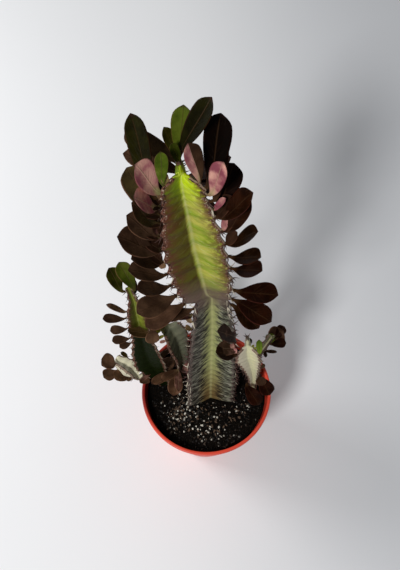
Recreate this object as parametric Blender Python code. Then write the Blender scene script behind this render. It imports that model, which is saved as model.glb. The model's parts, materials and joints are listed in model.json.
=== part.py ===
"""A potted three-winged euphorbia: nursery pot, soil, one tall stem, side shoots and leaves.

The origin is the centre of the pot's base, +Z is up, and the pot's front faces -Y.
All lengths below are in millimetres until they are scaled to metres on the meshes.
"""
import math

import bmesh
import bpy
from mathutils import Matrix, Quaternion, Vector

MM = 0.001

# Driving dimensions of the pot (a 12 cm nursery pot).
RIM_RADIUS = 60.0
POT_HEIGHT = 105.0
BASE_RADIUS = 38.0
WALL = 1.3
FLOOR = 2.2
FOOT_RECESS = 2.0
COLLAR_BOTTOM = 88.0
COLLAR_STEP = 2.6
TURN_STEPS = 48
DRAIN_HOLES = 6
DRAIN_RADIUS = 4.5
DRAIN_CIRCLE = 28.0

# The soil stands a little below the rim, and the stems are planted in it.
SOIL_TOP = 93.0
SOIL_BUMP = 1.0
SOCKET_TOP = 110.0
GAP = 0.3

# The main stem: three wings, a pinched growth ring, then a younger and wider flush.
PINCH_HEIGHT = 290.0
STEM_FACE_DEPTH = 0.32
WING_THICKNESS = 3.2
STEM_TOOTH = 1.5
OLD_TOOTH_PITCH = 10.0
YOUNG_TEETH = 7
YOUNG_TOOTH_PITCH = 17.0
YOUNG_PITCH_LOSS = 0.27
CROWN_TEETH = [404.0, 411.0, 418.0, 424.0, 429.0, 433.0]

# Leaves: a spoon-shaped blade on a short stalk.
STALK_HALF_WIDTH = 1.1
STALK_THICKNESS = 1.7
BLADE_THICKNESS = 1.3
LEAF_FOLD = 0.28

# Height, centre X, centre Y and wing radius of the main stem, from its foot to its tip.
STEM_PROFILE = [
    (78, 3.4, 2, 18),
    (93, 3.3, 3, 23),
    (150, 3, 6, 23),
    (200, 3, 9, 21),
    (250, 3, 12, 17.5),
    (275, 2.5, 14, 15),
    (290, 2.3, 15, 13),
    (300, -1.5, 15.5, 18.5),
    (312, -3.3, 16, 20.6),
    (325, -5, 17, 22),
    (364, -10, 19, 22.3),
    (385, -12, 20.5, 20.8),
    (405, -14, 21.5, 17.4),
    (417, -15.5, 22.5, 15),
    (427, -16.3, 23, 12),
    (433, -16.8, 23.3, 8.5),
    (436, -17, 23.4, 4.5),
]
WINGS = {"right": -24.0, "left": -144.0, "back": 96.0}

# Leaves on the main stem: wing, height of its tooth, heading and lift in degrees,
# length, width and roll. Headings turn from +X towards +Y.
STEM_LEAVES = [
    ("right", 286, -50, 20, 32, 13, 10),
    ("right", 298, -42, 22, 38, 15, 10),
    ("right", 315, -25, 33, 38, 15, 10),
    ("right", 347, -36, 45, 33, 13, 10),
    ("right", 362, -33, 45, 32, 12, 10),
    ("right", 376, -20, 55, 34, 12, 10),
    ("right", 390, 13, 65, 38, 13, 30),
    ("right", 404, -8, 58, 38, 13, 30),
    ("right", 411, 63, 23, 30, 15, 20),
    ("right", 424, 11, 72, 32, 11, 40),
    ("right", 418, 83, 24, 42, 14, 0),
    ("right", 429, 74, 26, 44, 16, 20),
    ("right", 433, 113, 58, 25, 12, 20),
    ("left", 286, -154, 15, 26, 11, 0),
    ("left", 298, -147, 0, 33, 15, 0),
    ("left", 315, -142, 25, 36, 16, -10),
    ("left", 331, -146, 41, 34, 12, -10),
    ("left", 347, -160, 42, 34, 13, -10),
    ("left", 362, -152, 49, 32, 12, -10),
    ("left", 376, -166, 48, 38, 17, -20),
    ("left", 390, -179, 55, 32, 13, -30),
    ("left", 404, -155, 65, 37, 14, -45),
    ("left", 411, 126, 12, 35, 15, -30),
    ("left", 418, -144, 57, 30, 14, -30),
    ("left", 429, 173, 60, 29, 16, -20),
    ("left", 424, 112, 24, 52, 15, -15),
    ("left", 433, 105, 63, 22, 9, 0),
    ("back", 298, 95, 20, 34, 14, 0),
    ("back", 315, 78, 28, 36, 15, 0),
    ("back", 331, 112, 32, 35, 14, 0),
    ("back", 347, 92, 40, 34, 14, 0),
    ("back", 376, 0, 38, 38, 15, 0),
    ("back", 390, 12, 42, 38, 14, 0),
    ("back", 404, 169, 24, 40, 14, 0),
    ("back", 418, 146, 4, 41, 14, 0),
    ("back", 424, 130, 58, 26, 9, 0),
    ("back", 429, 82, 54, 34, 12, 0),
    ("back", 433, 43, 55, 44, 17, 0),
]

# Side shoots: points of the centre line with the wing radius at each, wing headings
# round the centre line, the stretch that carries teeth, and their number.
SIDE_SHOOTS = {
    "shoot_left_tall": {
        "line": [(-38, 11, 78, 4.5), (-40, 12, 98, 6), (-45, 15, 118, 10), (-50, 18, 140, 15.5),
                 (-53, 21, 165, 14), (-54.5, 23, 185, 9.5), (-55.5, 24, 215, 9.5),
                 (-56, 24.5, 240, 8), (-56.5, 25, 256, 4.5), (-58, 26, 266, 3), (-59.5, 27, 276, 2.2)],
        "wings": (-30, 90, 210),
        "teeth": (40, 197.7, 17),
    },
    "shoot_left_near": {
        "line": [(-23, 18, 78, 4), (-23, 19, 98, 4.5), (-25, 21, 150, 9), (-30, 24, 188, 14),
                 (-33, 26, 200, 9)],
        "wings": (-100, 20, 140),
        "teeth": (45, 120, 9),
    },
    "shoot_right": {
        "line": [(43, 7, 78, 4), (43.5, 7, 98, 4), (42, 6, 130, 4.5), (38, 4, 168, 8),
                 (34, 2, 198, 11.5), (32.5, 1, 214, 10.5), (32, 0.5, 222, 5)],
        "wings": (-30, 90, 210),
        "teeth": (40, 139, 11),
    },
    "shoot_right_far": {
        "line": [(39, 20, 78, 3), (42, 23.5, 98, 3.2), (44, 25.5, 112, 3.4), (53, 33, 132, 3.6),
                 (59, 37, 149, 3.2)],
        "wings": (-90, 30, 150),
        "teeth": (40, 72, 4),
    },
}

# One low shoot grows out of the tall one's left wing and reaches over the pot's rim.
LOW_SHOOT = {
    "parent": "shoot_left_tall",
    "wing": 2,
    "tooth": 1,
    "root": [(0, 2), (4, 3)],
    "line": [(-66, 9, 128, 8.5), (-72, 13, 131, 9.5), (-79, 17, 134, 7), (-83, 19, 136, 4)],
    "wings": (30, 150, 270),
    "teeth": (10, 30, 4),
}

# Leaves on the side shoots: wing number, tooth number, heading, lift, length, width, roll.
SHOOT_LEAVES = {
    "shoot_left_tall": [
        (2, 16, 134, 45, 23, 11, 0),
        (0, 16, 122, 41, 25, 12, 0),
        (2, 12, -167, 23, 20, 8, 0),
        (2, 10, -164, 16, 15, 8, 0),
        (2, 8, -164, 14, 16, 8, 0),
        (2, 7, -149, 18, 12, 7, 0),
        (0, 10, -80, 0, 14, 11, 0),
    ],
    "shoot_left_low": [
        (1, 3, -147, 48, 16, 13, 0),
        (1, 2, -145, 12, 15, 12, 0),
    ],
    "shoot_right": [
        (2, 10, -166, 42, 24, 13, 0),
        (0, 2, -61, -1, 19, 13, 0),
        (2, 0, -65, -2, 23, 13, 0),
    ],
    "shoot_right_far": [
        (1, 3, 44, 20, 14, 12, 0),
        (0, 3, -2, 6, 14, 9, 0),
    ],
}

# Stations along a leaf: distance from its stalk's foot and half width, as shares.
LEAF_OUTLINE = [(0.14, 0.09), (0.28, 0.18), (0.42, 0.34), (0.57, 0.46), (0.72, 0.5),
                (0.86, 0.42), (0.95, 0.24)]


def clear_scene():
    """Start from an empty file."""
    for thing in list(bpy.data.objects):
        bpy.data.objects.remove(thing, do_unlink=True)


def material(name, colour, roughness):
    """A plain finish of one colour."""
    made = bpy.data.materials.new(name)
    made.use_nodes = True
    shader = made.node_tree.nodes["Principled BSDF"]
    shader.inputs["Base Color"].default_value = (*colour, 1.0)
    shader.inputs["Roughness"].default_value = roughness
    return made


def finish(bm, name, finish_material):
    """Scale a millimetre mesh to metres and put it in the scene as one named object."""
    bmesh.ops.scale(bm, vec=(MM, MM, MM), verts=bm.verts)
    bmesh.ops.recalc_face_normals(bm, faces=bm.faces)
    mesh = bpy.data.meshes.new(name)
    bm.to_mesh(mesh)
    bm.free()
    mesh.shade_smooth()
    mesh.set_sharp_from_angle(angle=math.radians(40))
    made = bpy.data.objects.new(name, mesh)
    if finish_material:
        made.data.materials.append(finish_material)
    bpy.context.scene.collection.objects.link(made)
    return made


def cut(body, cutters, solver="EXACT"):
    """Cut each cutter out of the body, and keep the cutters as wire guides."""
    for cutter in cutters:
        cutter.hide_render = True
        cutter.display_type = "WIRE"
        step = body.modifiers.new(cutter.name, "BOOLEAN")
        step.operation = "DIFFERENCE"
        step.solver = solver
        step.object = cutter


def between(stations, place):
    """Values at a place along stations, each one a place followed by its values."""
    if place <= stations[0][0]:
        return stations[0][1:]
    for (start, *first), (end, *last) in zip(stations, stations[1:]):
        if place <= end:
            share = (place - start) / (end - start)
            return [a + (b - a) * share for a, b in zip(first, last)]
    return stations[-1][1:]


def tube(bm, sides, rings):
    """A closed tube as a list of rings, each a list of its points in turning order."""
    bmesh.ops.create_cone(bm, cap_ends=True, segments=sides, radius1=1, radius2=1, depth=rings - 1)
    upright = [edge for edge in bm.edges if abs(edge.verts[0].co.z - edge.verts[1].co.z) > 0.5]
    bmesh.ops.subdivide_edges(bm, edges=upright, cuts=rings - 2)
    loops = [[] for _ in range(rings)]
    for point in bm.verts:
        loops[round(point.co.z + (rings - 1) / 2)].append(point)
    for loop in loops:
        loop.sort(key=lambda point: round(math.atan2(point.co.y, point.co.x) / math.tau * sides) % sides)
    return loops


def turned(bm, outline):
    """Turn an outline of radius and height, which starts and ends on the axis, round Z."""
    points = [bm.verts.new((radius, 0, height)) for radius, height in outline]
    edges = [bm.edges.new(pair) for pair in zip(points, points[1:])]
    bmesh.ops.spin(bm, geom=points + edges, axis=(0, 0, 1), cent=(0, 0, 0), angle=math.tau,
                   steps=TURN_STEPS, use_merge=True)
    bmesh.ops.remove_doubles(bm, verts=bm.verts, dist=0.001)


class Shoot:
    """A three-winged stem that follows a centre line, with teeth along its wings."""

    def __init__(self, name, stations, wings, teeth, tooth_height, level=False):
        self.name = name
        self.stations = stations
        self.wings = wings
        self.teeth = teeth
        self.tooth_height = tooth_height
        self.level = level

    def centre(self, place):
        """The point of the centre line at a place along the shoot."""
        return Vector(between(self.stations, place)[:3])

    def radius(self, place):
        """How far the wings reach there, without their teeth."""
        return between(self.stations, place)[3]

    def frame(self, place):
        """The two directions across the shoot at a place along it."""
        along = Vector((0, 0, 1))
        if not self.level:
            along = (self.centre(place + 3) - self.centre(place - 3)).normalized()
        across = Vector((1, 0, 0)) if abs(along.x) < 0.9 else Vector((0, 0, 1))
        across = (across - along * across.dot(along)).normalized()
        return across, along.cross(across)

    def outward(self, place, heading):
        """The way out from the centre line at a heading round it."""
        across, back = self.frame(place)
        turn = math.radians(heading)
        return across * math.cos(turn) + back * math.sin(turn)

    def tooth(self, wing, place):
        """Extra wing radius at a place: full on a tooth, none halfway to the next one."""
        teeth = self.teeth[wing]
        nearest = min(abs(place - tooth) for tooth in teeth)
        return self.tooth_height * max(0.0, 1.0 - 2 * nearest / self.pitch(wing))

    def pitch(self, wing):
        """The closest spacing of a wing's teeth."""
        teeth = self.teeth[wing]
        return min(b - a for a, b in zip(teeth, teeth[1:]))

    def seat(self, wing, place):
        """Where a leaf's stalk meets the wing's edge, and the direction it leaves in."""
        outward = self.outward(place, self.wings[wing])
        reach = self.radius(place) + self.tooth(wing, place) + GAP
        return self.centre(place) + outward * reach, outward

    def section(self, place, extra=0.0):
        """Nine points round the shoot: two on each wing's edge and one in each groove."""
        centre, radius = self.centre(place), self.radius(place)
        half = min(WING_THICKNESS / 2, radius * 0.3) + extra
        points = []
        for wing, heading in enumerate(self.wings):
            outward, sideways = self.outward(place, heading), self.outward(place, heading + 90)
            edge = centre + outward * (radius + self.tooth(wing, place) + extra)
            groove = self.outward(place, heading + 60) * (radius * STEM_FACE_DEPTH + extra)
            points += [edge - sideways * half, edge + sideways * half, centre + groove]
        return points

    def places(self):
        """Every tooth and the halfway place after it, from the foot to the tip."""
        found = {station[0] for station in self.stations}
        for wing, teeth in enumerate(self.teeth):
            found.update(teeth)
            found.update(tooth + self.pitch(wing) / 2 for tooth in teeth)
            found.update(tooth - self.pitch(wing) / 2 for tooth in teeth)
        top = self.stations[-1][0]
        kept = []
        for place in sorted(found):
            if place <= top and (not kept or place - kept[-1] > 1.0):
                kept.append(place)
        kept[-1] = top
        return kept

    def mesh(self, extra=0.0, top=math.inf):
        """The shoot's closed mesh, grown by a little extra and cut off above a height."""
        places = [place for place in self.places() if self.centre(place).z <= top]
        bm = bmesh.new()
        for loop, place in zip(tube(bm, 9, len(places)), places):
            for point, target in zip(loop, self.section(place, extra)):
                point.co = target
        if extra:
            for point in bm.verts:
                if point.co.z < self.stations[0][3] + 0.01:
                    point.co.z -= extra
        return bm


def by_distance(line):
    """Stations of a centre line, each placed by its distance along the line."""
    stations, distance = [], 0.0
    for index, (x, y, z, radius) in enumerate(line):
        if index:
            distance += (Vector((x, y, z)) - Vector(line[index - 1][:3])).length
        stations.append((distance, x, y, z, radius))
    return stations


def spread(first, last, count):
    """Evenly spaced places, both ends included."""
    return [first + (last - first) * index / (count - 1) for index in range(count)]


def main_shoot():
    """The tall stem: wide-set teeth up to its pinch, then closer ones to the crown."""
    stations = [(height, x, y, height, radius) for height, x, y, radius in STEM_PROFILE]
    old = spread(SOIL_TOP + 3, PINCH_HEIGHT - 4, round((PINCH_HEIGHT - SOIL_TOP) / OLD_TOOTH_PITCH))
    young = [PINCH_HEIGHT + 8 + YOUNG_TOOTH_PITCH * i - YOUNG_PITCH_LOSS * i * i for i in range(YOUNG_TEETH)]
    teeth = old + young + CROWN_TEETH
    return Shoot("main_stem", stations, tuple(WINGS.values()), (teeth,) * 3, STEM_TOOTH, level=True)


def side_shoot(name):
    """One of the thinner stems that rise from the potting mix beside it."""
    plan = SIDE_SHOOTS[name]
    teeth = spread(*plan["teeth"])
    return Shoot(name, by_distance(plan["line"]), plan["wings"], (teeth,) * 3, 0.9)


def low_shoot(parent):
    """The shoot that starts square on its parent's wing and then bends up and out."""
    plan = LOW_SHOOT
    seat, outward = parent.seat(plan["wing"], parent.teeth[plan["wing"]][plan["tooth"]])
    root = [(*(seat + outward * reach), radius) for reach, radius in plan["root"]]
    teeth = spread(*plan["teeth"])
    return Shoot("shoot_left_low", by_distance(root + plan["line"]), plan["wings"], (teeth,) * 3, 0.9)


def make_pot():
    """The pot: a turned shell on a ring foot, with its drain holes cut through."""
    slope = (RIM_RADIUS - 3.5 - COLLAR_STEP - BASE_RADIUS) / COLLAR_BOTTOM
    shoulder = BASE_RADIUS + slope * COLLAR_BOTTOM
    outline = [
        (0, 0), (18, 0), (20, FOOT_RECESS), (BASE_RADIUS - 5.5, FOOT_RECESS), (BASE_RADIUS - 3.5, 0),
        (BASE_RADIUS - 0.8, 0), (BASE_RADIUS, 0.8),
        (shoulder, COLLAR_BOTTOM), (shoulder + COLLAR_STEP, COLLAR_BOTTOM + 0.8),
        (RIM_RADIUS - 1.3, POT_HEIGHT - 4), (RIM_RADIUS, POT_HEIGHT - 3.2),
        (RIM_RADIUS, POT_HEIGHT - 1), (RIM_RADIUS - 0.9, POT_HEIGHT),
        (RIM_RADIUS - 2.2, POT_HEIGHT), (RIM_RADIUS - 3, POT_HEIGHT - 1),
        (shoulder + COLLAR_STEP - WALL, COLLAR_BOTTOM + 2.2), (shoulder - WALL, COLLAR_BOTTOM + 1.2),
        (BASE_RADIUS - WALL, FOOT_RECESS + FLOOR), (0, FOOT_RECESS + FLOOR),
    ]
    bm = bmesh.new()
    turned(bm, outline)
    pot = finish(bm, "pot", material("red_plastic", (0.62, 0.07, 0.045), 0.4))
    cut(pot, [drain_cutter(index) for index in range(DRAIN_HOLES)])
    return shoulder


def drain_cutter(index):
    """A round hole through the floor, inside the foot's recess."""
    turn = math.tau * index / DRAIN_HOLES
    bm = bmesh.new()
    hole = bmesh.ops.create_cone(bm, cap_ends=True, segments=16, radius1=DRAIN_RADIUS,
                                 radius2=DRAIN_RADIUS, depth=6)
    bmesh.ops.translate(bm, vec=(DRAIN_CIRCLE, 0, 3.6), verts=hole["verts"])
    bmesh.ops.rotate(bm, cent=(0, 0, 0), matrix=Matrix.Rotation(turn, 3, "Z"), verts=bm.verts)
    return finish(bm, f"drain_cutter_{index + 1}", None)


def make_soil(shoulder, shoots):
    """Potting mix that fills the pot, with a socket for each planted stem."""
    foot = FOOT_RECESS + FLOOR + GAP
    wall = shoulder - WALL - GAP
    top_radius = wall + COLLAR_STEP
    outline = [(0, foot), (BASE_RADIUS - WALL - GAP * 1.5, foot), (wall, COLLAR_BOTTOM + 1.2 + GAP),
               (top_radius, COLLAR_BOTTOM + 2.2 + GAP), (top_radius, SOIL_TOP)]
    outline += [(radius, SOIL_TOP) for radius in (46, 36, 26, 16, 8, 0)]
    bm = bmesh.new()
    turned(bm, outline)
    for point in bm.verts:
        if point.co.z > SOIL_TOP - 0.01 and point.co.xy.length < top_radius - 1:
            wave = math.sin(point.co.x * 0.31 + 1) * math.cos(point.co.y * 0.27) + math.sin(point.co.y * 0.5)
            point.co.z += SOIL_BUMP * wave * 0.5
    soil = finish(bm, "soil", material("potting_mix", (0.02, 0.016, 0.012), 0.95))
    sockets = [finish(shoot.mesh(GAP, SOCKET_TOP), shoot.name + "_socket", None) for shoot in shoots]
    cut(soil, sockets, solver="MANIFOLD")


def leaf_frames(foot, outward, tip, roll):
    """A curve from a stalk's foot to a leaf's tip, as a function of the share along it."""
    chord = tip - foot
    length = chord.length
    flat = Vector((0, 0, 1)).cross(chord)
    side = flat.normalized() if flat.length > 0.05 * length else Vector((0, -1, 0))
    side = Quaternion(chord.normalized(), math.radians(roll)) @ side
    control_a = foot + outward * (0.2 * length)
    control_b = tip - chord * 0.45

    def at(share):
        rest = 1 - share
        point = (foot * rest ** 3 + control_a * (3 * rest * rest * share)
                 + control_b * (3 * rest * share * share) + tip * share ** 3)
        tangent = ((control_a - foot) * (rest * rest) + (control_b - control_a) * (2 * rest * share)
                   + (tip - control_b) * (share * share)).normalized()
        across = (side - tangent * side.dot(tangent)).normalized()
        return point, across, tangent.cross(across)
    return at


def make_leaf(name, shoot, wing, place, heading, lift, length, width, roll, leaf_material):
    """A folded blade on its stalk, as one closed tube from the wing's edge to the tip."""
    foot, outward = shoot.seat(wing, place)
    turn, rise = math.radians(heading), math.radians(lift)
    chord = Vector((math.cos(turn) * math.cos(rise), math.sin(turn) * math.cos(rise), math.sin(rise)))
    at = leaf_frames(foot, outward, foot + chord * length, roll)
    stations = [(0.0, STALK_HALF_WIDTH, STALK_THICKNESS, 0.0)]
    for share, half in LEAF_OUTLINE:
        reach = max(half * width, STALK_HALF_WIDTH)
        stations.append((share, reach, BLADE_THICKNESS, LEAF_FOLD * min(1.0, share * 2)))
    stations.append((1.0, 0.25, 0.3, 0.0))
    bm = bmesh.new()
    for loop, (share, half, thick, fold) in zip(tube(bm, 4, len(stations)), stations):
        point, across, up = at(share)
        if share == 0.0:
            across = (across - outward * across.dot(outward)).normalized()
            up = outward.cross(across)
        targets = [point + across * half + up * (half * fold), point + up * (thick / 2),
                   point - across * half + up * (half * fold), point - up * (thick / 2)]
        for vertex, target in zip(loop, targets):
            vertex.co = target
    finish(bm, name, leaf_material)


def make_stem_leaves(shoot, leaf_material):
    """Every leaf of the tall stem, numbered up each wing."""
    wings = list(WINGS)
    counts = dict.fromkeys(wings, 0)
    for wing, place, heading, lift, length, width, roll in STEM_LEAVES:
        counts[wing] += 1
        place = min(shoot.teeth[wings.index(wing)], key=lambda tooth: abs(tooth - place))
        make_leaf(f"leaf_{wing}_{counts[wing]:02d}", shoot, wings.index(wing), place, heading, lift,
                  length, width, roll, leaf_material)


def make_shoot_leaves(shoot, leaf_material):
    """The leaves listed for one side shoot."""
    rows = SHOOT_LEAVES.get(shoot.name, [])
    for index, (wing, tooth, heading, lift, length, width, roll) in enumerate(rows):
        make_leaf(f"{shoot.name}_leaf_{index + 1}", shoot, wing, shoot.teeth[wing][tooth], heading, lift,
                  length, width, roll, leaf_material)


def main():
    clear_scene()
    shoulder = make_pot()
    main_stem = main_shoot()
    planted = [main_stem] + [side_shoot(name) for name in SIDE_SHOOTS]
    make_soil(shoulder, planted)
    green = material("winged_stem", (0.16, 0.2, 0.05), 0.5)
    maroon = material("leaf_skin", (0.05, 0.018, 0.015), 0.35)
    for shoot in planted + [low_shoot(planted[1])]:
        finish(shoot.mesh(), shoot.name, green)
        make_shoot_leaves(shoot, maroon)
    make_stem_leaves(main_stem, maroon)


main()
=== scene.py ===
# %% [markdown]
# # A potted three-winged euphorbia with maroon leaves
#
# The plant is one tall stem with three thin wings, five small side shoots, and leaves that sit on
# the wings' teeth. It stands in a thin red nursery pot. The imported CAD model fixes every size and
# place, so each cell below measures a CAD node first and then builds the fine piece over it.

# %% Load the frame
import json
import math
import random

import bmesh
import bpy
import numpy as np
from mathutils import Matrix, Vector, noise

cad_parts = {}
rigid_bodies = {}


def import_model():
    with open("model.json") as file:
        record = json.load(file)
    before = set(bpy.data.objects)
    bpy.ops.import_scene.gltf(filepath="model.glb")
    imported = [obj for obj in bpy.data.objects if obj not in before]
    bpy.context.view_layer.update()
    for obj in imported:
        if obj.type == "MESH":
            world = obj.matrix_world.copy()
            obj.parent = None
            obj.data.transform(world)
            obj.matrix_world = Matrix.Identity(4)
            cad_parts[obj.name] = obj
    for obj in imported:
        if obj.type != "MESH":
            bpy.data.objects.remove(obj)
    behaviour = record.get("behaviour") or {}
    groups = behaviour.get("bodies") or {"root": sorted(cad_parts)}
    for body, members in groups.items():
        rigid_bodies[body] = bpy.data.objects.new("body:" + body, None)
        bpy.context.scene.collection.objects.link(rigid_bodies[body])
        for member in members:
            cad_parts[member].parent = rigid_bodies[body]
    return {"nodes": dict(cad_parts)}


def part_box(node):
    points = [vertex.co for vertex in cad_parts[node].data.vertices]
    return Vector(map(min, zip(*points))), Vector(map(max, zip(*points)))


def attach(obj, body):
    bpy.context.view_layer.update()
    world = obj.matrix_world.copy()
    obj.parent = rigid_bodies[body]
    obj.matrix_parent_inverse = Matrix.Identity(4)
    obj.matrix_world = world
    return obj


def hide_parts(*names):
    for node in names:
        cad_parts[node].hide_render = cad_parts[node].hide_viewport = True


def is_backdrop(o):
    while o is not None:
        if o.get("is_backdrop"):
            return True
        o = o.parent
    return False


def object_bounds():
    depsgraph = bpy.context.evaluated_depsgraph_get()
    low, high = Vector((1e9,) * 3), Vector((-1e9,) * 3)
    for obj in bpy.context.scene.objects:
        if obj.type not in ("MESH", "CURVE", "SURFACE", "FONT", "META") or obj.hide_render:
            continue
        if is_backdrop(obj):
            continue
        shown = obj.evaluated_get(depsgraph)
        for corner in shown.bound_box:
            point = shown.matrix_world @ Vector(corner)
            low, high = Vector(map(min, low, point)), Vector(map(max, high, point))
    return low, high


MM = 0.001
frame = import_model()
cad_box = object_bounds()
collection = bpy.context.scene.collection.objects
leaf_nodes = sorted(name for name in frame["nodes"] if "leaf" in name)
shoot_nodes = sorted(name for name in frame["nodes"] if "shoot" in name and "leaf" not in name)
print("CAD nodes:", len(frame["nodes"]), "of which leaves:", len(leaf_nodes))

# %% [markdown]
# ## Camera
#
# The plant is looked at steeply from above its front, so its tall stem leans away from us and its
# crown comes close to the lens. A camera turned 25 degrees up from straight down gives that view.
# A constraint could aim it, but a written place and tilt are easier to read and never move.

# %% Camera
CAMERA_PLACE = (-0.0059, -0.2214, 0.8126)
CAMERA_TILT = math.radians(25)
SENSOR_WIDTH, LENS = 36.0, 49.9

camera_data = bpy.data.cameras.new("camera")
camera_data.sensor_width = SENSOR_WIDTH
camera_data.lens = LENS
camera = bpy.data.objects.new("camera", camera_data)
camera.location = CAMERA_PLACE
camera.rotation_euler = (CAMERA_TILT, 0, 0)
collection.link(camera)
bpy.context.scene.camera = camera
bpy.context.scene.view_settings.view_transform = "Standard"
print("camera height in mm:", round(CAMERA_PLACE[2] / MM), "lens in mm:", LENS)

# %% [markdown]
# ## Shader maths
#
# Node materials are easier to read as formulas. `Value` wraps one node socket, and its operators
# add Math nodes, so `1 - mask * 0.5` builds the nodes that a person would place by hand. `Finish`
# is one material: its `node` method makes any other node from its type, settings and sockets.

# %% A value that Python arithmetic works on
def operator(operation, swapped=False):
    """A method that joins a value and another by one Math node."""
    def join(self, other):
        first, second = (other, self) if swapped else (self, other)
        return self.finish.node("ShaderNodeMath", {"operation": operation}, {0: first, 1: second})

    return join


class Value:
    """One output socket of a material's nodes."""

    def __init__(self, finish, socket):
        self.finish = finish
        self.socket = socket

    __add__ = __radd__ = operator("ADD")
    __sub__ = operator("SUBTRACT")
    __rsub__ = operator("SUBTRACT", swapped=True)
    __mul__ = __rmul__ = operator("MULTIPLY")
    __pow__ = operator("POWER")

    def __abs__(self):
        return operator("ABSOLUTE")(self, 0.0)


# %% A material made node by node
class Finish:
    """One material, with short names for the nodes that its recipe uses most."""

    def __init__(self, name, **constants):
        self.material = bpy.data.materials.new(name)
        self.material.use_nodes = True
        self.tree = self.material.node_tree
        self.shader = self.tree.nodes["Principled BSDF"]
        for socket, value in constants.items():
            self.shader.inputs[socket.replace("_", " ")].default_value = value

    def node(self, kind, settings, sockets, output=0):
        made = self.tree.nodes.new(kind)
        for name, value in settings.items():
            setattr(made, name, value)
        for name, value in sockets.items():
            self.feed(made.inputs[name], value)
        return Value(self, made.outputs[output])

    def feed(self, socket, value):
        if isinstance(value, Value):
            self.tree.links.new(value.socket, socket)
        else:
            socket.default_value = value

    def place(self):
        return self.node("ShaderNodeTexCoord", {}, {}, "Object")

    def scaled(self, vector, scale):
        return self.node("ShaderNodeMapping", {}, {"Vector": vector, "Scale": scale})

    def noise(self, vector, scale, detail=3.0, roughness=0.55):
        sockets = {"Vector": vector, "Scale": scale, "Detail": detail, "Roughness": roughness}
        return self.node("ShaderNodeTexNoise", {}, sockets)

    def cells(self, vector, scale):
        return self.node("ShaderNodeTexVoronoi", {}, {"Vector": vector, "Scale": scale}, "Distance")

    def smooth(self, value, low, high):
        """0 below low and 1 above high, with an eased change between them."""
        return self.node("ShaderNodeMapRange", {"interpolation_type": "SMOOTHSTEP"},
                         {"Value": value, "From Min": low, "From Max": high})

    def attribute(self, name):
        return self.node("ShaderNodeAttribute", {"attribute_name": name}, {}, "Fac")

    def axes(self, vector):
        split = self.tree.nodes.new("ShaderNodeSeparateXYZ")
        self.feed(split.inputs[0], vector)
        return [Value(self, split.outputs[index]) for index in range(3)]

    def vector(self, x, y, z):
        return self.node("ShaderNodeCombineXYZ", {}, {0: x, 1: y, 2: z})

    def mix(self, factor, first, second):
        """The first colour where the factor is 0 and the second where it is 1."""
        # The Mix node's colour sockets share their names, so they are picked by number.
        sockets = {6: self.colour(first), 7: self.colour(second), 0: factor}
        return self.node("ShaderNodeMix", {"data_type": "RGBA"}, sockets, 2)

    def layers(self, colour, *coats):
        """A colour under coats, each a factor and a colour that covers what lies beneath it."""
        for factor, coat in coats:
            colour = self.mix(factor, colour, coat)
        return colour

    def colour(self, value):
        return value if isinstance(value, Value) else (*value, 1.0)

    def finish(self, colour, roughness, height=None, depth=0.2 * MM, strength=1.0):
        """Feed the shader its colour, its roughness and, through a Bump node, its relief."""
        self.feed(self.shader.inputs["Base Color"], colour)
        self.feed(self.shader.inputs["Roughness"], roughness)
        if height is not None:
            sockets = {"Height": height, "Distance": depth, "Strength": strength}
            bump = self.node("ShaderNodeBump", {}, sockets)
            self.feed(self.shader.inputs["Normal"], bump)
        return self.material


# %% [markdown]
# ## Floor and light
#
# A pale floor carries the plant. The key lamp stands high at the front left, so the plant's shadow
# falls to the back right. A weaker lamp lights the left side, and a dim even sky keeps the shadow
# open. A sun lamp would do for the key, but an area lamp softens the shadow's edge as a window
# does.

# %% Floor
def put(bm, name, material, slot_name=None, sharp=None):
    """Make a bmesh one finished object; with a slot's name it also rides on the plant."""
    mesh = bpy.data.meshes.new(name)
    bm.to_mesh(mesh)
    bm.free()
    mesh.shade_smooth()
    if sharp:
        mesh.set_sharp_from_angle(angle=math.radians(sharp))
    mesh.materials.append(material)
    made = bpy.data.objects.new(name, mesh)
    collection.link(made)
    if slot_name:
        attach(made, "root")
    return made


FLOOR_HALF_WIDTH = 4.0


def floor_paper():
    """Near-white paper, with painted shade that greys it towards the right."""
    paper = Finish("floor_paper")
    place = paper.place()
    across, _, _ = paper.axes(place)
    mottle = paper.noise(place, 6.0, detail=2.0)
    colour = paper.mix(mottle, (0.815, 0.82, 0.83), (0.835, 0.84, 0.85))
    # Painted shade greys the paper towards the right.
    colour = paper.mix(paper.smooth(across, -0.08, 0.26), colour, (0.63, 0.64, 0.66))
    return paper.finish(colour, 0.85)


floor_mesh = bmesh.new()
bmesh.ops.create_grid(floor_mesh, x_segments=2, y_segments=2, size=FLOOR_HALF_WIDTH)
floor = put(floor_mesh, "floor", floor_paper())
floor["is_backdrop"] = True

# %% Light
SKY_COLOUR = (0.93, 0.96, 1.0, 1.0)
SKY_STRENGTH = 0.17


def add_lamp(name, place, aim, width, energy, shape="DISK"):
    """A soft lamp at a place that looks at its aim."""
    data = bpy.data.lights.new(name, "AREA")
    data.shape = shape
    data.size = width
    data.energy = energy
    made = bpy.data.objects.new(name, data)
    made.location = place
    made.rotation_euler = (Vector(place) - Vector(aim)).to_track_quat("Z", "Y").to_euler()
    collection.link(made)
    print(name, "height in mm:", round(place[2] / MM), "watts:", energy)


add_lamp("key_lamp", place=(-0.80, -1.33, 2.03), aim=(0, 0, 0.2), width=0.46, energy=44.0)
add_lamp("side_lamp", place=(-0.95, 0.38, 0.60), aim=(0.0, 0.2, 0.0), width=0.5, energy=6.6,
         shape="SQUARE")

sky = bpy.data.worlds.new("soft_sky")
sky.use_nodes = True
sky_inputs = sky.node_tree.nodes["Background"].inputs
sky_inputs["Color"].default_value = SKY_COLOUR
sky_inputs["Strength"].default_value = SKY_STRENGTH
bpy.context.scene.world = sky
print("sky strength:", SKY_STRENGTH)

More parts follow.
